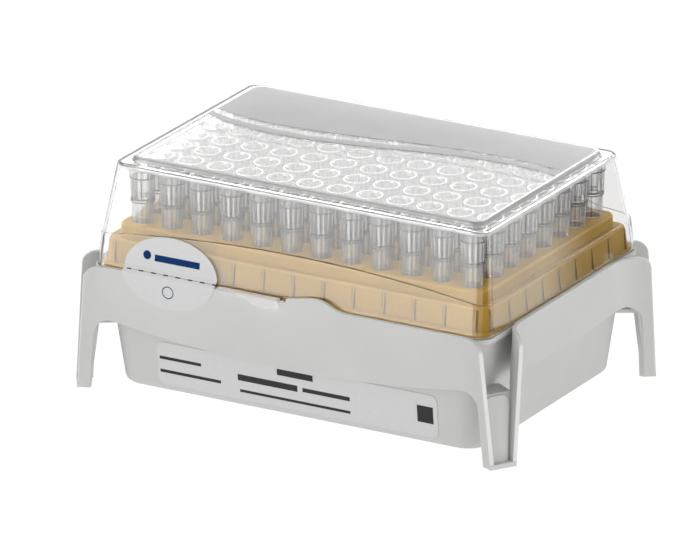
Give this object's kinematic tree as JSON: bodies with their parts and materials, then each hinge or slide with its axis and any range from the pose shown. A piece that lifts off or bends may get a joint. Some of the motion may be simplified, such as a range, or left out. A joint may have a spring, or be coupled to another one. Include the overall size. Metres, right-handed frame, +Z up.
{
  "type": "box of pipette tips",
  "caption": "Rectangular hinged-lid box on four splayed legs, with an amber rack inside that holds pipette tips upright in a square grid under a clear lid.",
  "frame": {"origin": "middle of the footprint, on the plane that the four feet stand on", "axes": "+Z up, +X along the long side to the right seen from the front, +Y from the front towards the hinge at the back"},
  "size_m": [0.1326, 0.0935, 0.0628],
  "materials": {
    "base": "fine satin moulded polypropylene, pale grey white",
    "rack": "translucent amber moulded plastic",
    "lid": "clear polished plastic, frosted behind the wave on top",
    "tips": "translucent natural polypropylene",
    "paper": "coated white label paper with plain printed fields"
  },
  "bodies": {
    "base": {"base_box": "base", "tip_rack": "rack", "tips_column_01": "tips", "tips_column_02": "tips", "tips_column_03": "tips", "tips_column_04": "tips", "tips_column_05": "tips", "tips_column_06": "tips", "tips_column_07": "tips", "tips_column_08": "tips", "tips_column_09": "tips", "tips_column_10": "tips", "tips_column_11": "tips", "tips_column_12": "tips", "front_label": "paper", "seal_lower": "paper"},
    "lid": {"clear_lid": "lid", "seal_upper": "paper"}
  },
  "joints": [
    {"name": "lid_hinge", "type": "hinge", "parent": "base", "child": "lid", "pos_m": [0, 0.0454, 0.0338], "axis": [-1, 0, 0], "range_deg": [0, 105]}
  ]
}
